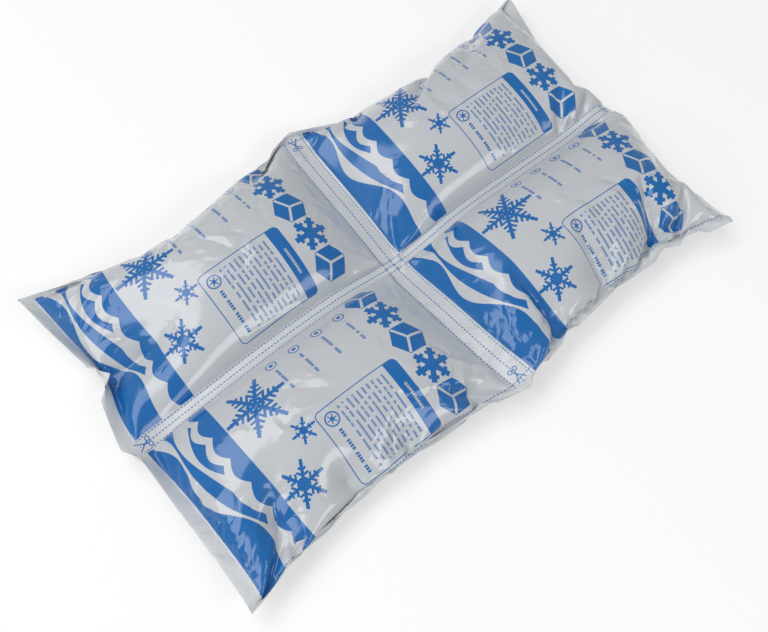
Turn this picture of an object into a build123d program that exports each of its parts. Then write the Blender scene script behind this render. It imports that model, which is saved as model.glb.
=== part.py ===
"""Reusable gel ice pack: a printed sheet of film, welded into two rows of two
filled cells, lying flat on a table. Millimetres, +Z up, +X along the sheet.

The sheet is one sealed solid. Cross sections stand at stations along it, and
ruled skins join each section to the next, so the film keeps straight creases
where it gathers and smooth arches over the gel.
"""
import os
from math import cos, pi

from build123d import *

# The filled sheet from corner to corner, and where its inner seams cross.
sheet_length = 395.0
sheet_width = 237.0
seam_cross_x = 4.5
seam_cross_y = -5.2
# The long seam bows towards +Y by this much halfway along each column.
seam_bow = 7.0

# Flat welds.
end_weld = 10.0
side_weld = 4.0
cross_seam = 15.0
long_seam = 10.0
weld_thickness = 0.6

# Heights: the welds stand off the table, lower where the seams cross than at
# the outer edges, and the gel bulges above and below them.
seam_height = 7.0
side_height = 15.0
end_height = 13.0
top_bulge = 20.5
bottom_bulge = 22.0

# How squarely a bulge fills its cell, along and across, each first towards the
# inner seam and then towards the outer edge: 2 is a plain arch.
top_squareness = ((3.2, 10.0), (3.6, 6.0))
bottom_squareness = ((5.8, 10.0), (3.3, 12.0))

# Share of the full bulge on top that the gel in each cell reaches.
fill = {
    ("left", "lower"): 1.02, ("left", "upper"): 0.98,
    ("right", "lower"): 1.15, ("right", "upper"): 0.92,
}

# How far the outline stops short of the full length and width, at the seam
# and at the corner of each cell.
end_setback = {
    ("left", "lower"): (5.0, 6.6), ("left", "upper"): (0.0, 3.3),
    ("right", "lower"): (10.8, 19.0), ("right", "upper"): (12.2, 0.0),
}
side_setback = {
    ("left", "lower"): (5.1, 0.8), ("right", "lower"): (6.9, 9.9),
    ("left", "upper"): (0.0, 0.0), ("right", "upper"): (0.0, 0.0),
}
# How far the gel draws in the outer edges of each cell, and how squarely.
end_draw = {
    ("left", "lower"): (1.7, 4.0), ("left", "upper"): (10.1, 1.0),
    ("right", "lower"): (3.1, 4.0), ("right", "upper"): (10.4, 1.0),
}
side_draw = {
    ("left", "lower"): (14.2, 1.9), ("right", "lower"): (11.5, 1.8),
    ("left", "upper"): (18.1, 1.5), ("right", "upper"): (19.5, 2.1),
}

# Gathers of the film along each outer edge: how far from the seam to the
# corner, depth of the notch, half its width, reach of the fold into the cell,
# and how far the weld stands up on it.
side_gathers = {
    ("left", "upper"): [(0.15, 6.5, 13, 34, 3), (0.50, 4.9, 13, 42, 2), (0.61, 4.1, 12, 25, -2)],
    ("right", "upper"): [(0.23, 6.1, 14, 45, 3), (0.56, 3.4, 10, 30, 2), (0.80, 2.2, 11, 26, -2)],
    ("left", "lower"): [(0.15, 3.9, 9, 34, 3), (0.39, 2.2, 10, 30, 2),
                        (0.58, 1.5, 7, 40, -2), (0.80, 5.7, 12, 38, 3)],
    ("right", "lower"): [(0.06, 4.3, 9, 30, 2), (0.23, 3.3, 9, 30, 2),
                         (0.48, 1.0, 8, 26, 2), (0.73, 5.8, 13, 28, -2), (0.84, 7.0, 11, 32, 3)],
}
end_gathers = {
    ("left", "upper"): [(0.22, 1.8, 10, 16, 2), (0.40, 9.0, 14, 30, 3)],
    ("left", "lower"): [(0.07, 3.0, 6, 14, 2)],
    ("right", "upper"): [(0.19, 7.9, 14, 20, 2), (0.36, 9.0, 15, 26, 3)],
    ("right", "lower"): [(0.08, 6.9, 12, 16, 2), (0.56, 4.9, 12, 22, 2)],
}
# Share of the bulge that a fold takes away.
fold_pinch = 0.25

# Fineness of the sections.
stations_per_cell = 9
pieces_per_arch = 6
least_step = 4.0

sides = {"left": -1, "right": 1, "lower": -1, "upper": 1}


class Span:
    """One way across a cell, from the middle of its inner seam to the outer
    edge: half the seam, then the room for gel, then the outer weld."""

    def __init__(self, seam_at, full_half, direction, half_seam, weld):
        self.seam_at, self.direction = seam_at, direction
        self.half_seam, self.weld = half_seam, weld
        self.length = full_half - direction * seam_at

    def place(self, stop, shortfall=0.0):
        """Coordinate of a stop (seam, room, weld), each counted from 0 to 1."""
        room = self.length - shortfall - self.half_seam - self.weld
        seam_part, room_part, weld_part = stop
        return self.seam_at + self.direction * (
            seam_part * self.half_seam + room_part * room + weld_part * self.weld)

    def share(self, stop):
        """The same stop as a share of the way from the seam to the edge."""
        return (self.place(stop) - self.seam_at) * self.direction / self.length

    def room_share(self, share):
        """Share of the room for gel at a share of the whole span."""
        room = self.length - self.half_seam - self.weld
        return (share * self.length - self.half_seam) / room


columns = {
    name: Span(seam_cross_x, sheet_length / 2, sides[name], cross_seam / 2, end_weld)
    for name in ("left", "right")
}
rows = {
    name: Span(seam_cross_y, sheet_width / 2, sides[name], long_seam / 2, side_weld)
    for name in ("lower", "upper")
}


def crest(distance, half_width):
    """A straight-sided fold: 1 on its line, 0 from its half width on."""
    return max(0.0, 1.0 - abs(distance) / half_width)


def bulge(share, squareness):
    """A flattened arch: 0 at shares 0 and 1, and 1 halfway."""
    return 1.0 - abs(2.0 * share - 1.0) ** squareness


def lopsided_bulge(share, squareness):
    inner, outer = squareness
    return bulge(share, inner if share < 0.5 else outer)


def shortfall(share, setback, draw, gathers, length):
    """How far the outline lies inside the full sheet at a share of an edge."""
    at_seam, at_corner = setback
    depth, squareness = draw
    notches = sum(notch * crest((share - at) * length, half)
                  for at, notch, half, _, _ in gathers)
    return (at_seam + (at_corner - at_seam) * share
            + depth * bulge(share, squareness) + notches)


def folds(share, gathers, length, from_edge):
    """Pinch and lift that the gathers of one edge give a point of the film."""
    pinch = lift = 0.0
    for at, _, half, reach, rise in gathers:
        strength = crest((share - at) * length, half) * crest(from_edge, reach)
        pinch += fold_pinch * strength
        lift += rise * strength
    return pinch, lift


def film_point(column, row, stop_x, stop_y, level):
    """A point of the upper (level 1) or lower (level -1) film of one cell."""
    cell = (column, row)
    along, across = columns[column], rows[row]
    share_x, share_y = along.share(stop_x), across.share(stop_y)
    x = along.place(stop_x, shortfall(
        share_y, end_setback[cell], end_draw[cell], end_gathers[cell], across.length))
    y = across.place(stop_y, shortfall(
        share_x, side_setback[cell], side_draw[cell], side_gathers[cell], along.length))
    y += seam_bow * bulge(share_x, 2.0) * (1 - share_y)
    end_pinch, end_lift = folds(
        share_y, end_gathers[cell], across.length, (1 - share_x) * along.length)
    side_pinch, side_lift = folds(
        share_x, side_gathers[cell], along.length, (1 - share_y) * across.length)
    height, squareness = (
        (top_bulge * fill[cell], top_squareness) if level > 0
        else (bottom_bulge, bottom_squareness))
    swell = lopsided_bulge(stop_x[1], squareness[0]) * lopsided_bulge(stop_y[1], squareness[1])
    swell *= max(0.0, 1.0 - end_pinch - side_pinch)
    weld_height = (
        seam_height + (side_height - seam_height) * share_y ** 2
        + (end_height - seam_height) * share_x ** 2 * (1 - share_y ** 2))
    z = weld_height + end_lift + side_lift + level * (weld_thickness / 2 + height * swell)
    return Vector(x, y, z)


def crowded(steps):
    """Shares from 0 to 1, closer together towards both ends."""
    return [0.5 - 0.5 * cos(pi * step / steps) for step in range(steps + 1)]


def section(column, stop_x, level):
    """Edges of the film across the sheet at one station, lower row first.

    The upper film arches smoothly; the film underneath is pressed flat.
    """
    def point(row, stop_y):
        return film_point(column, row, stop_x, stop_y, level)

    def weld(row):
        """Across an outer weld, from the cut edge inwards."""
        return [Line(point(row, (1, 1, 1)), point(row, (1, 1, 0)))]

    def arch(row):
        points = [point(row, (1, share, 0)) for share in crowded(pieces_per_arch)]
        pairs = zip(points, points[1:])
        if level < 0:
            return [Line(start, end) for start, end in pairs]
        curve = Spline(points)
        return [curve.trim(start, end) for start, end in pairs]

    seam = [Line(point("lower", (1, 0, 0)), point("upper", (1, 0, 0)))]
    return weld("lower") + arch("lower") + seam + arch("upper") + weld("upper")


def stations(column):
    """Stops along one column of cells, from the cross seam to the end weld."""
    span = columns[column]
    room = span.length - span.half_seam - span.weld
    folded = set()
    for row in rows:
        for at, _, half, _, _ in side_gathers[column, row]:
            for shift in (-half, 0, half):
                folded.add(span.room_share(at + shift / span.length))
    folded = sorted(share for share in folded if least_step < share * room < room - least_step)
    chosen = []
    for share in folded + crowded(stations_per_cell)[1:-1]:
        if all(abs(share - other) * room >= least_step for other in chosen):
            chosen.append(share)
    return [(0, 0, 0), (1, 0, 0)] + [(1, share, 0) for share in sorted(chosen)] + [
        (1, 1, 0), (1, 1, 1)]


def ruled(near, far):
    return Face.make_surface_from_curves(edge1=near, edge2=far)


def skins():
    """All faces of the sheet: upper and lower film and the cut outer edge."""
    left = [("left", stop) for stop in reversed(stations("left"))]
    right = [("right", stop) for stop in stations("right")[1:]]
    upper = [section(column, stop, 1) for column, stop in left + right]
    lower = [section(column, stop, -1) for column, stop in left + right]
    faces = []
    for level in (upper, lower):
        for here, there in zip(level, level[1:]):
            faces += [ruled(a, b) for a, b in zip(here, there)]
    for end in (0, -1):
        faces += [ruled(a, b) for a, b in zip(upper[end], lower[end])]
    for weld in (0, -1):
        for start in range(len(upper) - 1):
            rims = [Line(level[start][weld] @ 0, level[start + 1][weld] @ 0)
                    for level in (upper, lower)]
            faces.append(ruled(*rims))
    return faces


def ice_pack():
    """The sealed sheet, flattened where the cells rest on the table, with
    the origin under the middle of its outline."""
    sheet = Solid(Shell(skins())).split(Plane.XY, keep=Keep.TOP)
    middle = sheet.bounding_box().center()
    return Pos(-middle.X, -middle.Y, 0) * sheet


os.makedirs("parts", exist_ok=True)
export_step(ice_pack(), "parts/ice_pack.step")
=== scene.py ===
"""Dresses the gel ice pack: a film sheet, printed in blue, whose four cells are
filled and settled by a small cloth simulation, on a white studio floor.

The simulation fills a flat sheet of two films, with the cut edge drawn to the
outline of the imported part. The print is worked out from places on the flat
sheet. Lengths are in millimetres up to the point where meshes are made.
"""

from math import cos, pi, radians, sin, tan

import bpy
import numpy as np
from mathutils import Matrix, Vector
from mathutils.bvhtree import BVHTree


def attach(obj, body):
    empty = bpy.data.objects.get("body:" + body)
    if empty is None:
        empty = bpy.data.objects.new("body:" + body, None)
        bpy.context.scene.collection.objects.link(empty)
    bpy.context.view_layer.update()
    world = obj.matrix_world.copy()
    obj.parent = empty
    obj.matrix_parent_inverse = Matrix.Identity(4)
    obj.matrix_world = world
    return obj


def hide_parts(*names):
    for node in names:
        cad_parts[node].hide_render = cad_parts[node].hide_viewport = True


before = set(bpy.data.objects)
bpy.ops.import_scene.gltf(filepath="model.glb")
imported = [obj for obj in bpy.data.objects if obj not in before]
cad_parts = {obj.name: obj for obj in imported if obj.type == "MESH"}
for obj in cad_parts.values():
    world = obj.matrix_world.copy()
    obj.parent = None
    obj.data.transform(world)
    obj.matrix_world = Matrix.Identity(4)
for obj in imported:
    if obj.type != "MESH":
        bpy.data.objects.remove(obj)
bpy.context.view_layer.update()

MM = 0.001
NODE = "ice_pack"

# The sheet of film before it is filled, and its welds.
FLAT_LENGTH, FLAT_WIDTH = 400.0, 240.0
END_WELD, SIDE_WELD = 10.0, 5.0
CROSS_SEAM, LONG_SEAM = 15.0, 10.0
FILM = 0.3
# Where the seams meet the outline of the filled sheet: the cross seam at both
# long edges, and the long seam at the left and right end.
CROSS_SEAM_ENDS = 4.0
LONG_SEAM_ENDS = {-1: -5.6, 1: 0.0}
# Gathers, where both films are drawn together in a wedge: the place on a long
# side (x) or on an end (y), counted from the seam, how far it reaches in, and
# how wide it is.
SIDE_GATHERS = {
    -1: ((-162, 34, 6), (-117, 18, 5), (-79, 16, 5), (-30, 16, 5), (12, 20, 5), (44, 22, 5),
         (93, 16, 5), (141, 20, 5), (162, 16, 5)),
    1: ((-123, 10, 5), (-101, 14, 5), (-30, 14, 5), (44, 16, 5), (108, 12, 5), (154, 12, 5)),
}
END_GATHERS = {-1: ((47, 48, 8), (27, 14, 5), (-8, 10, 5)), 1: ((-66, 20, 5), (-10, 12, 5))}
# Creases at the crossing of the seams and by gathered edges, each from place to
# place on the flat sheet, with the half width and height of them all.
CREASES = (
    ((-32, 27), (-8, 5)), ((-26, 9), (-9, 5)), ((-34, -15), (-8, -5)), ((-18, -24), (-7, -5)),
    ((36, 12), (8, 5)), ((18, 25), (7, 5)), ((30, -21), (8, -5)), ((62, -9), (9, -5)),
    ((-64, -83), (-20, -99)), ((-32, -78), (-9, -97)), ((141, -66), (158, -101)),
    ((112, 12), (150, 9)), ((-70, 10), (-104, 14)),
    ((-9, 4), (1, -3)), ((1, -3), (7, 4)), ((-6, -6), (1, -3)), ((3, -7), (8, -2)))
CREASE_WIDTH, CREASE_HEIGHT = 2.8, 1.1
# Gel in each cell, in cubic millimetres: left lower and upper, right lower and
# upper.
CELL_VOLUMES = (382e3, 392e3, 388e3, 382e3)

# Simulation: spaces of the coarsest grid each way, and per level the steps and
# the push of the gel. Each level has twice the spaces of the one before.
GRID = (35, 22)
LEVELS = ((1500, 2e-2), (1200, 5e-3), (1000, 1.2e-3), (900, 3e-4))
PUSH_SCALE = 8
# Resistance to bending: of any film over one step, and over longer spans of
# plain film, of the inner and end welds, of the long outer welds, and of the
# film beside the cross seam, which the gel holds smooth.
FILM_BEND = 0.008
LONG_BEND = np.array([0.0, 0.03, 0.02, 0.01], np.float32)
# That smooth film: its width on each side of the seam, and how far it stays from
# the long edges.
CALM_WIDTH, CALM_END = 32.0, 22.0
# How firmly the film's slanting threads keep their length: 1 is fully.
SLANT_STIFFNESS = 0.5
# How firmly the cut edge is drawn to the part's outline, level and upright.
EDGE_PULL = np.array([[0.9], [0.9], [0.4]], np.float32)
# Pressure that the gel's weight adds per millimetre of depth, and how far the
# film's own weight moves it in one step.
GEL_WEIGHT, FILM_WEIGHT = 0.03, 2e-4
# Pressure in a cell follows its volume: the least pressure, the greatest change
# in one step, and how fast the change grows with the share that is missing.
LEAST_PRESSURE, PRESSURE_CHANGE, PRESSURE_GAIN = 0.02, 0.01, 20
# Speed that is left after each step, in the air and along the table.
DAMPING, TABLE_SLIP = 0.97, 0.2
# The flat sheet at the start: its height, half the gap between the films, and
# the seed and size of its unevenness.
START_HEIGHT, START_GAP = 14.0, 1.0
START_SEED, START_NOISE = 7, 0.2
# Search for the part's outline from above: its step, and how many at most.
OUTLINE_STEP, OUTLINE_STEPS = 0.25, 1000
# How the cut edge lies under the part's outline halfway along a cell, how far in
# and how far down, at the near and at the far side.
SIDE_TUCK = {-1: (0.0, 0.0), 1: (6.0, 8.0)}
# The same at the upper cell's part of the right end, over a share of the way
# from the seam to the corner, and how the whole right end lies off the outline
# at the seam, less and less towards its corners.
END_TUCK, END_TUCK_REACH = (11.0, 4.0), 0.7
END_SHIFT = (2.7, 3.3, -8.0)
# Notch in the left end that the part only has in a blunt form: its place across
# the sheet, its depth and half its width.
END_NOTCH = (43.3, 11.5, 11.5)
# Corners and seam of the flat sheet along its edges.
SPREAD_X = (-FLAT_LENGTH / 2, 0.0, FLAT_LENGTH / 2)
SPREAD_Y = (-FLAT_WIDTH / 2, 0.0, FLAT_WIDTH / 2)


# Film simulation.

def edge_from(tree, start, way):
    """First point of the part, seen from above, from start along way."""
    spot = np.array(start)
    for _ in range(OUTLINE_STEPS):
        above = Vector((spot[0] * MM, spot[1] * MM, 1.0))
        hit = tree.ray_cast(above, Vector((0, 0, -1)))[0]
        if hit:
            return (*spot, hit.z / MM)
        spot = spot + np.array(way) * OUTLINE_STEP
    raise ValueError("no part along this line")


class Sheet:
    """Two films as grids of particles, joined wherever they are welded."""

    def __init__(self, columns, rows, points=None, pressure=(1.0,) * 4):
        self.columns, self.rows = columns, rows
        self.step_x, self.step_y = FLAT_LENGTH / columns, FLAT_WIDTH / rows
        x = np.linspace(-FLAT_LENGTH / 2, FLAT_LENGTH / 2, columns + 1)
        y = np.linspace(-FLAT_WIDTH / 2, FLAT_WIDTH / 2, rows + 1)
        self.x, self.y = np.meshgrid(x, y)
        self.weld = (
            (abs(self.x) > FLAT_LENGTH / 2 - END_WELD) | (abs(self.x) < CROSS_SEAM / 2)
            | (abs(self.y) > FLAT_WIDTH / 2 - SIDE_WELD) | (abs(self.y) < LONG_SEAM / 2))
        for side in (-1, 1):
            for gathers, place, way, half in (
                    (SIDE_GATHERS, self.x, self.y, FLAT_WIDTH / 2),
                    (END_GATHERS, self.y, self.x, FLAT_LENGTH / 2)):
                for at, reach, width in gathers[side]:
                    thin = width / 2 * (1 - (half - side * way) / reach)
                    self.weld |= abs(place - at) < thin
        side_weld = abs(self.y) > FLAT_WIDTH / 2 - SIDE_WELD
        calm = ((abs(self.x) < CROSS_SEAM / 2 + CALM_WIDTH)
                & (abs(self.y) < FLAT_WIDTH / 2 - CALM_END))
        self.kind = np.select([side_weld, self.weld, calm], [2, 1, 3], 0)
        self.cells = [(self.x * side > 0) & (self.y * row > 0) & ~self.weld
                      for side in (-1, 1) for row in (-1, 1)]
        self.pressure = np.array(pressure)
        if points is None:
            random = np.random.default_rng(START_SEED)
            noise = random.normal(0, START_NOISE, (2,) + self.x.shape)
            apart = np.where(self.weld, 0.0, START_GAP)
            points = np.stack([
                np.stack([self.x, self.y, START_HEIGHT + side * apart + noise[layer]])
                for layer, side in ((0, 1), (1, -1))])
        self.points = points.astype(np.float32)
        self.speed = np.zeros_like(self.points)
        self.rim = None

    def guide(self, tree, corners):
        """Targets for the cut edge: the outline of the part, seen from above."""
        places, targets = [], []
        for (side, row), spot in corners.items():
            places.append((self.rows if row > 0 else 0, self.columns if side > 0 else 0))
            targets.append(spot)
        for side in (-1, 1):
            row, column = (0, 0) if side < 0 else (self.rows, self.columns)
            stops = (corners[-1, side][0], CROSS_SEAM_ENDS, corners[1, side][0])
            for index, x in enumerate(np.interp(self.x[row], SPREAD_X, stops)):
                if 0 < index < self.columns:
                    under = sin(2 * pi * self.x[row, index] / FLAT_LENGTH) ** 2
                    x, y, z = edge_from(tree, (x, side * FLAT_WIDTH / 2), (0, -side))
                    places.append((row, index))
                    tuck, droop = SIDE_TUCK[side]
                    targets.append((x, y - side * tuck * under, z - droop * under))
            stops = (corners[side, -1][1], LONG_SEAM_ENDS[side], corners[side, 1][1])
            for index, y in enumerate(np.interp(self.y[:, column], SPREAD_Y, stops)):
                if 0 < index < self.rows:
                    x, y, z = edge_from(tree, (side * FLAT_LENGTH / 2, y), (-side, 0))
                    if side < 0:
                        at, depth, half = END_NOTCH
                        x += depth * max(0.0, 1 - abs(y - at) / half)
                    else:
                        share = self.y[index, column] / FLAT_WIDTH * 2
                        free = 1 - share ** 2
                        under = sin(pi * min(1.0, max(0.0, share / END_TUCK_REACH))) ** 2
                        x += END_SHIFT[0] * free - END_TUCK[0] * under
                        y += END_SHIFT[1] * free
                        z += END_SHIFT[2] * free - END_TUCK[1] * under
                    places.append((index, column))
                    targets.append((x, y, max(z, FILM)))
        self.rim = tuple(np.array(places).T)
        self.rim_to = np.array(targets, np.float32).T

    def stretch(self, near, far, rest, stiff):
        """Moves two sets of particles to their rest distance from each other."""
        gap = far - near
        length = np.sqrt((gap * gap).sum(axis=0))
        gap *= (length - rest) / np.maximum(length, 1e-6) * np.float32(stiff / 2)
        near += gap
        far -= gap

    def tighten(self, film):
        """One pass over the film's threads: along, across and slanting."""
        for grid, step in ((film, self.step_x), (film.swapaxes(1, 2), self.step_y)):
            for start in (0, 1):
                near, far = grid[:, :, start:-1:2], grid[:, :, start + 1::2]
                self.stretch(near, far, np.float32(step), 1.0)
        slant = np.float32(np.hypot(self.step_x, self.step_y))
        for start in (0, 1):
            near, far = film[:, start:-1:2], film[:, start + 1::2]
            self.stretch(near[:, :, :-1], far[:, :, 1:], slant, SLANT_STIFFNESS)
            self.stretch(near[:, :, 1:], far[:, :, :-1], slant, SLANT_STIFFNESS)

    def straighten(self, film):
        """Resistance to bending, over longer spans only within one kind of film."""
        for grid, kind in ((film, self.kind), (film.swapaxes(1, 2), self.kind.T)):
            for span in (1, 2, 4):
                low, high = grid[..., :-2 * span], grid[..., 2 * span:]
                middle, here = grid[..., span:-span], kind[:, span:-span]
                alike = (kind[:, :-2 * span] == here) & (here == kind[:, 2 * span:])
                least = np.float32(FILM_BEND if span == 1 else 0)
                stiff = np.maximum(np.where(alike, LONG_BEND[here], 0), least)
                bend = (low - 2 * middle + high) * stiff
                low -= bend
                high -= bend
                middle += 2 * bend

    def normals(self, film):
        """Normals whose length is the area round each particle."""
        normal = np.zeros_like(film)
        along = film[:, 1:-1, 2:] - film[:, 1:-1, :-2]
        across = film[:, 2:, 1:-1] - film[:, :-2, 1:-1]
        normal[:, 1:-1, 1:-1] = np.cross(along, across, axis=0) / 4
        return normal

    def press(self, push):
        """Gel pressure on both films, with each cell kept near its volume."""
        normals = [self.normals(film) for film in self.points]
        column = normals[0][2] * self.points[0, 2] - normals[1][2] * self.points[1, 2]
        load = np.zeros(self.x.shape, np.float32)
        for index, cell in enumerate(self.cells):
            short = 1 - float(column[cell].sum()) / CELL_VOLUMES[index]
            change = 1 + PRESSURE_CHANGE * max(-1.0, min(1.0, PRESSURE_GAIN * short))
            self.pressure[index] = max(LEAST_PRESSURE, self.pressure[index] * change)
            top = self.points[0, 2][cell].max()
            load[cell] = self.pressure[index] + GEL_WEIGHT * top
        scale = np.float32(PUSH_SCALE * push / (self.step_x * self.step_y))
        for layer, side in ((0, 1), (1, -1)):
            depth = load - np.float32(GEL_WEIGHT) * self.points[layer, 2]
            self.points[layer] += normals[layer] * np.where(self.weld, 0, depth) * scale * side

    def settle(self, steps, push):
        """Lets the gel fill out the cells while the sheet lies on the table."""
        damping, film_weight = np.float32(DAMPING), np.float32(FILM_WEIGHT)
        for _ in range(steps):
            before = self.points.copy()
            self.points += self.speed
            self.press(push)
            self.points[:, 2] -= film_weight
            for film in self.points:
                self.straighten(film)
                self.tighten(film)
            middle = self.points.mean(axis=0)
            self.points = np.where(self.weld, middle, self.points)
            if self.rim is not None:
                rows, columns = self.rim
                for film in self.points:
                    edge = film[:, rows, columns]
                    film[:, rows, columns] = edge + EDGE_PULL * (self.rim_to - edge)
            self.speed = (self.points - before) * damping
            resting = self.points[:, 2] < 0
            self.points[:, 2][resting] = 0
            self.speed[:, 0][resting] *= np.float32(TABLE_SLIP)
            self.speed[:, 1][resting] *= np.float32(TABLE_SLIP)
            self.speed[:, 2][resting] = 0

    def finer(self):
        """The same sheet with twice the particles each way."""
        def between(values):
            middle = (values[..., 1:] + values[..., :-1]) / 2
            middle[..., 1:-1] = (9 * (values[..., 1:-2] + values[..., 2:-1])
                                 - values[..., :-3] - values[..., 3:]) / 16
            full = np.empty(values.shape[:-1] + (2 * values.shape[-1] - 1,), np.float32)
            full[..., ::2], full[..., 1::2] = values, middle
            return full
        points = between(between(self.points).swapaxes(2, 3)).swapaxes(2, 3)
        return Sheet(2 * self.columns, 2 * self.rows, points, self.pressure)


def filled_sheet(node):
    """The sheet of film, filled, on the outline of the part's own solid."""
    tree = BVHTree.FromObject(node, bpy.context.evaluated_depsgraph_get())
    spots = np.array([node.matrix_world @ v.co for v in node.data.vertices]) / MM
    size = spots.max(axis=0)
    corners = {
        (side, row): spots[(spots[:, 0] * side / size[0] + spots[:, 1] * row / size[1]).argmax()]
        for side in (-1, 1) for row in (-1, 1)}
    sheet = Sheet(*GRID)
    for level, (steps, push) in enumerate(LEVELS):
        if level:
            sheet = sheet.finer()
        sheet.guide(tree, corners)
        sheet.settle(steps, push)
    return sheet


# Mesh.

# Where the bake's UV map shows the upper and the lower film: the chart's corner
# and its size, negative where it runs backwards.
UPPER_CHART = (0.01, 0.40), (0.98, 0.588)
LOWER_CHART = (0.59, 0.01), (-0.58, 0.348)
# The same for the strips of the cut edge: where they start and how long they
# are, the place of the first, the pitch from strip to strip, and their width.
STRIP_START, STRIP_LENGTH = 0.62, 0.36
STRIP_PLACE, STRIP_PITCH, STRIP_WIDTH = 0.05, 0.06, 0.01


def crease_height(x, y):
    """How far the creases raise the film at places of the flat sheet."""
    height = np.zeros_like(x)
    for (start_x, start_y), (end_x, end_y) in CREASES:
        run_x, run_y = end_x - start_x, end_y - start_y
        part = ((x - start_x) * run_x + (y - start_y) * run_y) / (run_x ** 2 + run_y ** 2)
        part = np.clip(part, 0, 1)
        gap = np.hypot(x - start_x - part * run_x, y - start_y - part * run_y)
        height = np.maximum(height, CREASE_HEIGHT * (1 - gap / CREASE_WIDTH))
    return height


def skin_mesh(sheet):
    """One closed mesh of both films, with the flat place of every corner."""
    films = sheet.points.copy()
    films[0, 2] += crease_height(sheet.x, sheet.y)
    for layer, side in ((0, 1), (1, -1)):
        normal = sheet.normals(sheet.points[layer])
        normal /= np.maximum(np.sqrt((normal ** 2).sum(axis=0)), 1e-6)
        films[layer] += normal * side * FILM / 2
    rows, columns = sheet.x.shape
    index = np.arange(2 * rows * columns).reshape(2, rows, columns)
    top, bottom = index
    film_faces = (rows - 1) * (columns - 1)
    faces = [
        np.stack([top[:-1, :-1], top[:-1, 1:], top[1:, 1:], top[1:, :-1]], -1).reshape(-1, 4),
        np.stack([bottom[:-1, :-1], bottom[1:, :-1], bottom[1:, 1:], bottom[:-1, 1:]],
                 -1).reshape(-1, 4)]
    for edge, flip in (((0, slice(None)), False), ((-1, slice(None)), True),
                       ((slice(None), 0), True), ((slice(None), -1), False)):
        over, under = top[edge], bottom[edge]
        rim = np.stack([under[:-1], under[1:], over[1:], over[:-1]], -1)
        faces.append(rim[:, ::-1] if flip else rim)
    faces = np.concatenate(faces)
    spots = films.transpose(0, 2, 3, 1).reshape(-1, 3) * MM
    mesh = bpy.data.meshes.new("filled_sheet")
    mesh.from_pydata(spots.tolist(), [], faces.tolist())
    mesh.shade_smooth()
    flat = np.stack([np.tile(sheet.x.ravel(), 2), np.tile(sheet.y.ravel(), 2)], -1) * MM
    corners = faces.ravel()
    plain = np.arange(len(faces)) >= film_faces
    mesh.polygons.foreach_set("material_index", plain.astype(np.int32))
    mesh.uv_layers.new(name="Flat").data.foreach_set("uv", flat[corners].ravel())
    share = np.stack([sheet.x / FLAT_LENGTH, sheet.y / FLAT_WIDTH], -1).reshape(-1, 2) + 0.5
    charts = np.tile(share, (2, 1))[faces]
    start = 0
    for place, size in (UPPER_CHART, LOWER_CHART):
        charts[start:start + film_faces] = place + charts[start:start + film_faces] * size
        start += film_faces
    for strip, (steps, way) in enumerate(((columns, 0), (columns, 0), (rows, 1), (rows, 1))):
        end = start + steps - 1
        over = faces[start:end] < rows * columns
        level = STRIP_PLACE + STRIP_PITCH * strip + STRIP_WIDTH * over
        run = STRIP_START + STRIP_LENGTH * charts[start:end, :, way]
        charts[start:end] = np.stack([run, level], -1)
        start = end
    mesh.uv_layers.new(name="OFBake").data.foreach_set("uv", charts.ravel())
    return mesh


def film_sheet():
    mesh = skin_mesh(filled_sheet(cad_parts[NODE]))
    piece = bpy.data.objects.new("film_sheet", mesh)
    bpy.context.collection.objects.link(piece)
    return piece


# Print and film.

# Pitch of the printed cells, and how soft a printed edge is.
PITCH_X, PITCH_Y = 200.0, 122.0
SOFT = 0.25
# Half the width of printed thin lines, and of the line in the middle of a seam.
LINE, SEAM_LINE = 0.3, 0.32
# Places on a printed cell are given along the sheet (u) and across it (w): a box
# is its least and greatest u, then its least and greatest w.
DRIFTS_BOX = (8.5, 50.0, 5.0, 117.0)
# Drifts, from left to right: the middle, how it slants, the length, size and
# shift of its waves, then half its width with the waves of that.
DRIFTS = (
    (14.0, 0.16, (74, 4.5, 0.0), 2.2, (51, 1.5, 1.0)),
    (29.0, 0.09, (88, 5.0, 2.0), 3.2, (63, 1.8, 0.4)),
    (41.0, -0.05, (60, 3.5, 4.0), 1.5, (37, 0.8, 2.2)))
# Scalloped strip beside the drifts: its edge, the length and size of its
# scallops, and the lane left bare before it.
SHORE, SCALLOPS, LANE = 42.5, (34, 4.0), 5.0
# Snow crystals: middle, radius, half width of the arms and pitch of the barbs.
FLAKES = (
    (70.5, 37.0, 19.5, 1.15, 3.6), (63.0, 88.0, 13.0, 0.95, 3.0),
    (80.5, 66.5, 7.5, 0.65, 2.2))
# Four rings in a row, each with a mark inside and a line of small marks.
LIST_START, LIST_END, LIST_PITCH = 84.0, 148.0, 16.0
RING_PLACE, RING_RADIUS, RING_LINE, RING_HEART = 20.0, 3.2, 0.35, 1.3
LIST_MARKS, LIST_MARKS_HALF = (26.0, 45.0), 0.85
# Framed panel: its box and corners, the start of its header, and its lines of
# small marks.
PANEL, PANEL_CORNER = (89.0, 144.0, 64.0, 111.0), 3.0
HEADER_START = 136.0
TEXT_START, TEXT_END, TEXT_PITCH, TEXT_HALF = 101.0, 134.0, 3.3, 0.62
TEXT_LINES = (67.5, 107.5)
# Rows of bold marks, bare ones in the header and printed ones in the panel: the
# middle and half the width of the row, its ends, and pitch and length of a mark.
HEADER_MARKS = (140.0, 0.8, (79.0, 96.0), 1.4, 0.9)
BOLD_MARKS = (96.0, 1.0, (78.0, 107.0), 1.7, 1.25)
WORD_PITCH, WORD = 8.5, 7.0
# Ring before the bold marks, with a snow crystal in it: radius, half width of the
# arms and pitch of the barbs.
SIGN_PLACE, SIGN_RADIUS, SIGN_LINE = (96.0, 71.5), 3.9, 0.4
SIGN_FLAKE = (3.0, 0.3, 1.4)
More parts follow.
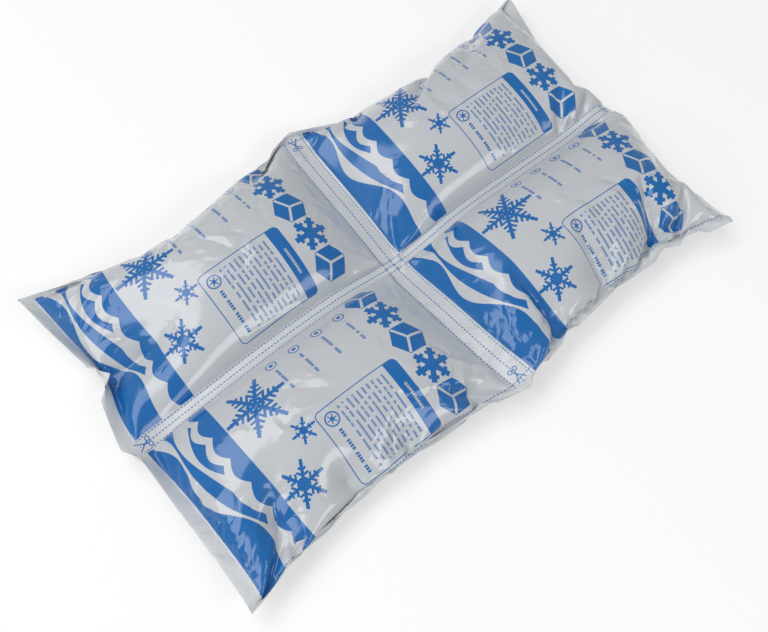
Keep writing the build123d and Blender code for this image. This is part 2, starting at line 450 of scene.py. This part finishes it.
# Small marks in the place of print: pitch and length of a mark. A noise groups
# them: its number in a millimetre, its shift from line to line, and the level
# above which there are marks, with its softness.
MARK_PITCH, MARK = 0.9, 0.64
GROUPS, GROUP_SHIFT, GROUP_LEVEL, GROUP_SOFT = 0.32, 57.0, 0.40, 0.05
# Row of ice cubes and bold stars by turns: its place, pitch and ends.
TITLE_PLACE, TITLE_PITCH, TITLE_ENDS = 159.5, 21.2, (5.0, 111.0)
CUBE_RADIUS, STAR_RADIUS = 11.2, 11.0
# Half the width of a cube's white edges and of a star's arms, half the thickness
# and half the length of the bar across an arm, and the star's heart.
CUBE_EDGE, STAR_ARM, STAR_BAR, STAR_BAR_HALF, STAR_HEART = 0.8, 1.7, 1.1, 3.3, 3.6
# Dashed lines, on the sheet and counted from the crossing of the seams: pitch
# and length of a dash, then where the lines beside the seams and by the right
# end and the sides lie, and where they stop.
DASH_PITCH, DASH = 2.3, 1.5
CROSS_LINE, END_LINE, LONG_LINE, SIDE_LINE = 6.6, 191.5, 4.1, 113.0
LINES_END = (192.0, 116.0)
# Scissors at the seams' ends: where they are on the cross and the long seam,
# counted from the crossing, then the rings' place, radius and half width, and the
# blades' crossing, slant, half width and ends.
SCISSORS = (191.0, 112.0)
RINGS_PLACE, RINGS_RADIUS, RINGS_LINE = (5.4, 1.9), 1.25, 0.32
BLADES_CROSS, BLADES_SLANT, BLADES_HALF, BLADES_ENDS = 2.6, 0.55, 0.38, (-3.0, 4.6)
# Colours of ink and of film, and of the film where it is welded.
INK = (0.003, 0.122, 0.385, 1)
FILM_COLOUR = (0.505, 0.53, 0.56, 1)
WELD_COLOUR = (0.555, 0.58, 0.605, 1)
# Gloss of the film: its own and that of the clear skin over the print.
ROUGHNESS, SPECULAR, SKIN, SKIN_ROUGHNESS = 0.34, 0.1, 1.0, 0.1
# Relief of the film in millimetres: embossed dots and their pitch, fine grain,
# and slow waves, the last two with their number in a millimetre.
DOT_HEIGHT, DOT_PITCH = 0.035, 1.25
GRAIN_HEIGHT, GRAIN = 0.02, 1.4
CLOUD_HEIGHT, CLOUD = 0.6, 0.03
# Crinkles where the film is slack: the waves and clouds that bend them, pitch,
# height and stretch of coarse and fine ones, the slack patches with their level,
# and how they fade in from the long seam.
BEND_X, BEND_Y, CLOUD_BEND = (61, 5.0), (47, 4.0, 1.0), 30.0
COARSE_PITCH, COARSE_HEIGHT, COARSE_STRETCH = 19.0, 2.2, 0.7
FINE_PITCH, FINE_HEIGHT, FINE_STRETCH = 9.0, 0.6, 0.55
SLACK, SLACK_LEVEL, SLACK_SOFT = 0.021, 0.47, 0.12
SLACK_FROM, SLACK_FADE = 38.0, 40.0
# How much ink thins out in places: its share, and what the clouds add.
INK_SHARE, INK_CLOUD = 0.95, 0.08


class Field:
    """A number worked out at each point of the film: sums add Math nodes, and
    masks from 0 to 1 combine with & (both), | (either) and ~ (not)."""

    tree = None

    def __init__(self, socket):
        self.socket = socket

    @classmethod
    def of(cls, operation, *values, clamp=False):
        node = cls.tree.nodes.new("ShaderNodeMath")
        node.operation, node.use_clamp = operation, clamp
        for slot, value in zip(node.inputs, values):
            cls.feed(slot, value)
        return cls(node.outputs[0])

    @classmethod
    def feed(cls, slot, value):
        if isinstance(value, Field):
            cls.tree.links.new(value.socket, slot)
        else:
            slot.default_value = value

    def __add__(self, other):
        return self.of("ADD", self, other)

    def __sub__(self, other):
        return self.of("SUBTRACT", self, other)

    def __rsub__(self, other):
        return self.of("SUBTRACT", other, self)

    def __mul__(self, other):
        return self.of("MULTIPLY", self, other)

    __radd__ = __add__

    def __mod__(self, other):
        return self.of("FLOORED_MODULO", self, other)

    def __abs__(self):
        return self.of("ABSOLUTE", self)

    def __and__(self, other):
        return self.of("MINIMUM", self, other)

    def __or__(self, other):
        return self.of("MAXIMUM", self, other)

    def __invert__(self):
        return 1 - self

    def below(self, limit, soft=SOFT):
        if isinstance(limit, Field):
            return self.of("MULTIPLY_ADD", limit - self, 1 / soft, 0.5, clamp=True)
        return self.of("MULTIPLY_ADD", self, -1 / soft, limit / soft + 0.5, clamp=True)

    def above(self, limit, soft=SOFT):
        return ~self.below(limit, soft)

    def near(self, centre, half=LINE):
        return abs(self - centre).below(half)

    def between(self, low, high):
        return self.near((low + high) / 2, (high - low) / 2)

    def floor(self):
        return self.of("FLOOR", self)

    def dashes(self, pitch, length):
        return (self % pitch).below(length)

    def wave(self, length, size, shift=0.0):
        turns = self.of("MULTIPLY_ADD", self, 2 * pi / length, shift)
        return self.of("SINE", turns) * size

    def crinkle(self, other, pitch):
        """Roofs over the patches of a random net: 0 on the lines of the net."""
        node = self.tree.nodes.new("ShaderNodeTexVoronoi")
        node.voronoi_dimensions, node.feature = "2D", "DISTANCE_TO_EDGE"
        node.inputs["Scale"].default_value = 1.0
        self.feed(node.inputs["Vector"], plane(self * (1 / pitch), other * (1 / pitch)))
        return Field(node.outputs["Distance"])

    def noise(self, scale, other=None, detail=0.0):
        """A noise from 0 to 1 along one field, or over two."""
        node = self.tree.nodes.new("ShaderNodeTexNoise")
        node.inputs["Detail"].default_value = detail
        node.inputs["Scale"].default_value = 1.0
        if other is None:
            node.noise_dimensions = "1D"
            self.feed(node.inputs["W"], self * scale)
        else:
            node.noise_dimensions = "2D"
            self.feed(node.inputs["Vector"], plane(self * scale, other * scale))
        return Field(node.outputs["Fac"])


def plane(x, y):
    node = Field.tree.nodes.new("ShaderNodeCombineXYZ")
    Field.feed(node.inputs[0], x)
    Field.feed(node.inputs[1], y)
    return Field(node.outputs[0])


def distance(x, y):
    node = Field.tree.nodes.new("ShaderNodeVectorMath")
    node.operation = "LENGTH"
    Field.feed(node.inputs[0], plane(x, y))
    return Field(node.outputs["Value"])


def rounded(x, y, box, radius):
    """Distance outside a box with round corners, counted from its outline."""
    left, right, low, high = box
    out_x = Field.of("MAXIMUM", abs(x - (left + right) / 2) - ((right - left) / 2 - radius), 0)
    out_y = Field.of("MAXIMUM", abs(y - (low + high) / 2) - ((high - low) / 2 - radius), 0)
    return distance(out_x, out_y) - radius


def folded(x, y, arms):
    """Folds a point to the nearest arm of a star: how far along, how far off."""
    share = 2 * pi / arms
    turn = share / 2 - abs(Field.of("ARCTAN2", y, x) % share - share / 2)
    reach = distance(x, y)
    return reach * Field.of("COSINE", turn), reach * Field.of("SINE", turn)


def snowflake(x, y, radius, arm, pitch):
    """A star of six feathered arms."""
    along, off = folded(x, y, 6)
    stem = off.below(arm) & along.below(radius)
    slant = along - off * tan(pi / 6)
    barbs = (slant % pitch).near(pitch * 0.5, arm * 0.8)
    barbs &= off.below((radius - along) * 0.48) & slant.above(radius * 0.12)
    heart = along.near(radius * 0.2, arm * 0.9)
    return stem | barbs | (heart & off.below(radius * 0.2))


def writing(along, line, thick):
    """A line of small marks in groups, in the place of small print."""
    groups = (along + line * GROUP_SHIFT).noise(GROUPS).above(GROUP_LEVEL, GROUP_SOFT)
    return groups & along.dashes(MARK_PITCH, MARK) & thick


def bold_star(x, y, radius):
    """Six thick arms with a bar across each."""
    along, off = folded(x, y, 6)
    arms = along.below(radius) & off.below(STAR_ARM)
    bars = along.near(radius * 0.68, STAR_BAR) & off.below(STAR_BAR_HALF)
    return arms | bars | along.below(STAR_HEART)


def ice_cube(x, y, radius):
    """A cube seen from its corner: a hexagon with three white edges."""
    along, off = folded(x, y, 6)
    flat = cos(pi / 6)
    outline = (along * flat + off * 0.5).below(radius * flat)
    along, off = folded(x, y, 3)
    return outline & ~(off.below(CUBE_EDGE) & along.below(radius * 0.93))


def cell_print(u, w):
    """What is printed on each cell: u runs along the sheet, w across it."""
    drifts = None
    for middle, slant, waves, half, half_waves in DRIFTS:
        drift = (u - w * slant - w.wave(*waves)).near(middle, half + w.wave(*half_waves))
        drifts = drift if drifts is None else drifts | drift
    shore = SHORE - abs(w.wave(*SCALLOPS))
    strip = u.above(shore)
    lane = u.above(shore - LANE) & ~strip
    ink = inside(u, w, DRIFTS_BOX) & ((~drifts & ~lane) | strip)
    for flake_u, flake_w, radius, arm, pitch in FLAKES:
        ink |= snowflake(u - flake_u, w - flake_w, radius, arm, pitch)
    return ink | claims(u, w) | panel(u, w) | title(u, w)


def inside(u, w, box):
    left, right, low, high = box
    return u.between(left, right) & w.between(low, high)


def claims(u, w):
    """Rings in a row, each with a short line of marks."""
    row = (u - LIST_START) % LIST_PITCH - LIST_PITCH / 2
    reach = distance(row, w - RING_PLACE)
    rings = reach.near(RING_RADIUS, RING_LINE) | reach.below(RING_HEART)
    number = ((u - LIST_START) * (1 / LIST_PITCH)).floor()
    marks = writing(w, number, row.near(0.0, LIST_MARKS_HALF)) & w.between(*LIST_MARKS)
    return u.between(LIST_START, LIST_END) & (rings | marks)


def bold_marks(u, w, middle, half, ends, pitch, length):
    return u.near(middle, half) & w.between(*ends) & w.dashes(pitch, length)


def panel(u, w):
    """A frame with a header, lines of small marks, and a ring with a crystal."""
    frame_line = rounded(u, w, PANEL, PANEL_CORNER)
    header = frame_line.below(0.0) & u.above(HEADER_START)
    header &= ~bold_marks(u, w, *HEADER_MARKS)
    number = ((u - TEXT_START) * (1 / TEXT_PITCH)).floor()
    row = ((u - TEXT_START) % TEXT_PITCH).near(TEXT_PITCH / 2, TEXT_HALF)
    lines = writing(w, number, row) & u.between(TEXT_START, TEXT_END) & w.between(*TEXT_LINES)
    sign_u, sign_w = u - SIGN_PLACE[0], w - SIGN_PLACE[1]
    sign = distance(sign_u, sign_w).near(SIGN_RADIUS, SIGN_LINE)
    sign |= snowflake(sign_u, sign_w, *SIGN_FLAKE)
    sign |= bold_marks(u, w, *BOLD_MARKS) & w.dashes(WORD_PITCH, WORD)
    return frame_line.near(0.0) | header | lines | sign


def title(u, w):
    """Ice cubes and bold stars by turns."""
    place = (w - TITLE_ENDS[0]) % TITLE_PITCH - TITLE_PITCH / 2
    odd = ((w - TITLE_ENDS[0]) % (2 * TITLE_PITCH)).below(TITLE_PITCH, 0.01)
    cubes = ice_cube(u - TITLE_PLACE, place, CUBE_RADIUS)
    stars = bold_star(u - TITLE_PLACE, place, STAR_RADIUS)
    return w.between(*TITLE_ENDS) & ((cubes & odd) | (stars & ~odd))


def seam_print(x, across, along):
    """Dashed lines along the seams, the sides and the right end."""
    dash_x, dash_y = across.dashes(DASH_PITCH, DASH), along.dashes(DASH_PITCH, DASH)
    up = across.near(0.0, SEAM_LINE) | across.near(CROSS_LINE)
    up |= across.near(END_LINE) & x.above(0.0)
    level = along.near(0.0, SEAM_LINE) | along.near(LONG_LINE) | along.near(SIDE_LINE)
    stop_x, stop_y = LINES_END
    return (up & dash_y & along.below(stop_y)) | (level & dash_x & across.below(stop_x))


def scissors(along, off):
    """Scissors that point along a seam: two rings, and blades that cross."""
    ring_along, ring_off = RINGS_PLACE
    rings = distance(along - ring_along, abs(off) - ring_off).near(RINGS_RADIUS, RINGS_LINE)
    gap = abs(abs(off) - abs(along - BLADES_CROSS) * BLADES_SLANT)
    return rings | (gap.below(BLADES_HALF) & along.between(*BLADES_ENDS))


def mixed(share, first, second):
    """Colour from first to second by a mask: each a colour or a socket."""
    node = Field.tree.nodes.new("ShaderNodeMix")
    node.data_type = "RGBA"
    Field.feed(node.inputs[0], share)
    for slot, colour in ((node.inputs[6], first), (node.inputs[7], second)):
        if isinstance(colour, tuple):
            slot.default_value = colour
        else:
            Field.tree.links.new(colour, slot)
    return node.outputs[2]


def film_material(name, printed):
    material = bpy.data.materials.new(name)
    material.use_nodes = True
    Field.tree = tree = material.node_tree
    shader = tree.nodes["Principled BSDF"]
    shader.inputs["Roughness"].default_value = ROUGHNESS
    shader.inputs["Specular IOR Level"].default_value = SPECULAR
    shader.inputs["Coat Weight"].default_value = SKIN
    shader.inputs["Coat Roughness"].default_value = SKIN_ROUGHNESS
    flat = tree.nodes.new("ShaderNodeUVMap")
    flat.uv_map = "Flat"
    split = tree.nodes.new("ShaderNodeSeparateXYZ")
    tree.links.new(flat.outputs[0], split.inputs[0])
    x, y = Field(split.outputs[0]) * (1 / MM), Field(split.outputs[1]) * (1 / MM)
    across, along = abs(x), abs(y)
    welds = across.below(CROSS_SEAM / 2) | across.above(FLAT_LENGTH / 2 - END_WELD)
    welds |= along.below(LONG_SEAM / 2) | along.above(FLAT_WIDTH / 2 - SIDE_WELD)
    cloud, grain = x.noise(CLOUD, y, 2.0), x.noise(GRAIN, y, 1.0)
    colour = mixed(welds, FILM_COLOUR, WELD_COLOUR)
    if printed:
        ink = cell_print((x + PITCH_X) % PITCH_X, (PITCH_Y - y) % PITCH_Y)
        ink |= seam_print(x, across, along)
        ink |= scissors(SCISSORS[0] - across, y) | scissors(SCISSORS[1] - along, x)
        colour = mixed(ink * (INK_SHARE + cloud * INK_CLOUD), colour, INK)
    tree.links.new(colour, shader.inputs["Base Color"])
    dots = x.wave(DOT_PITCH, DOT_HEIGHT) * y.wave(DOT_PITCH, 1.0) * welds
    bump = tree.nodes.new("ShaderNodeBump")
    bump.inputs["Strength"].default_value = 1.0
    bump.inputs["Distance"].default_value = MM
    bent_x, bent_y = x + y.wave(*BEND_X) + cloud * CLOUD_BEND, y + x.wave(*BEND_Y)
    slack = x.noise(SLACK, y).above(SLACK_LEVEL, SLACK_SOFT)
    slack &= along.above(SLACK_FROM, SLACK_FADE)
    coarse = bent_x.crinkle(bent_y * COARSE_STRETCH, COARSE_PITCH) * COARSE_HEIGHT
    fine = (bent_x * FINE_STRETCH).crinkle(bent_y, FINE_PITCH) * FINE_HEIGHT
    crinkles = (coarse + fine) * slack
    relief = dots + grain * GRAIN_HEIGHT + cloud * CLOUD_HEIGHT + crinkles
    Field.feed(bump.inputs["Height"], relief)
    for slot in ("Normal", "Coat Normal"):
        tree.links.new(bump.outputs[0], shader.inputs[slot])
    return material


# Studio.

# Seen from the photograph's place: how far round and how high the camera
# stands, its lens, and where it is.
CAMERA_TURN, CAMERA_HEIGHT = -38.7, 61.9
CAMERA_PLACE = (-205.6, -242.5, 534.7)
LENS = 47.06
# Lights: name, place, size and power.
LIGHTS = (
    ("key", (-0.45, 0.75, 1.45), (1.2, 1.0), 11.5),
    ("left", (-1.2, 0.1, 1.0), (0.6, 1.2), 7.5),
    ("front", (0.3, -1.3, 1.1), (1.4, 0.5), 8.6))
# Plain grey all round.
SURROUNDINGS = 0.36
# The floor: its size, how far it lies below the sheet, its grey and roughness,
# and the share of plain white in it as the camera and reflections see it.
FLOOR_SIZE, FLOOR_DROP, FLOOR_GREY, FLOOR_ROUGHNESS = 40, 0.0005, 0.93, 0.9
FLOOR_GLOW = 0.45


def camera():
    data = bpy.data.cameras.new("camera")
    data.lens, data.clip_start, data.clip_end = LENS, 0.01, 10
    rig = bpy.data.objects.new("camera", data)
    rig.location = Vector(CAMERA_PLACE) * MM
    rig.rotation_euler = (radians(90 - CAMERA_HEIGHT), 0, radians(CAMERA_TURN))
    bpy.context.collection.objects.link(rig)
    bpy.context.scene.camera = rig


def area_light(name, place, size, power):
    data = bpy.data.lights.new(name, "AREA")
    data.shape, data.size, data.size_y, data.energy = "RECTANGLE", *size, power
    lamp = bpy.data.objects.new(name, data)
    lamp.location = place
    lamp.rotation_euler = (-Vector(place)).to_track_quat("-Z", "Y").to_euler()
    bpy.context.collection.objects.link(lamp)


def floor():
    """A pale floor that shows white to the camera and keeps a soft shadow."""
    bpy.ops.mesh.primitive_plane_add(size=FLOOR_SIZE, location=(0, 0, -FLOOR_DROP))
    ground = bpy.context.object
    ground.name = "floor"
    material = bpy.data.materials.new("floor")
    material.use_nodes = True
    tree = material.node_tree
    matt = tree.nodes["Principled BSDF"]
    matt.inputs["Base Color"].default_value = (FLOOR_GREY, FLOOR_GREY, FLOOR_GREY, 1)
    matt.inputs["Roughness"].default_value = FLOOR_ROUGHNESS
    white = tree.nodes.new("ShaderNodeEmission")
    white.inputs["Strength"].default_value = 1.0
    path = tree.nodes.new("ShaderNodeLightPath")
    Field.tree = tree
    seen = Field(path.outputs["Is Camera Ray"]) | Field(path.outputs["Is Glossy Ray"])
    seen |= Field(path.outputs["Is Transmission Ray"])
    blend = tree.nodes.new("ShaderNodeMixShader")
    Field.feed(blend.inputs[0], seen * FLOOR_GLOW)
    tree.links.new(matt.outputs[0], blend.inputs[1])
    tree.links.new(white.outputs[0], blend.inputs[2])
    tree.links.new(blend.outputs[0], tree.nodes["Material Output"].inputs["Surface"])
    ground.data.materials.append(material)


sheet_piece = film_sheet()
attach(sheet_piece, "root")
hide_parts(NODE)
sheet_piece.data.materials.append(film_material("printed_film", True))
sheet_piece.data.materials.append(film_material("plain_film", False))
camera()
floor()
for light in LIGHTS:
    area_light(*light)
world = bpy.data.worlds.new("studio")
world.use_nodes = True
background = world.node_tree.nodes["Background"]
background.inputs["Color"].default_value = (SURROUNDINGS, SURROUNDINGS, SURROUNDINGS, 1)
bpy.context.scene.world = world
bpy.context.scene.view_settings.view_transform = "Standard"
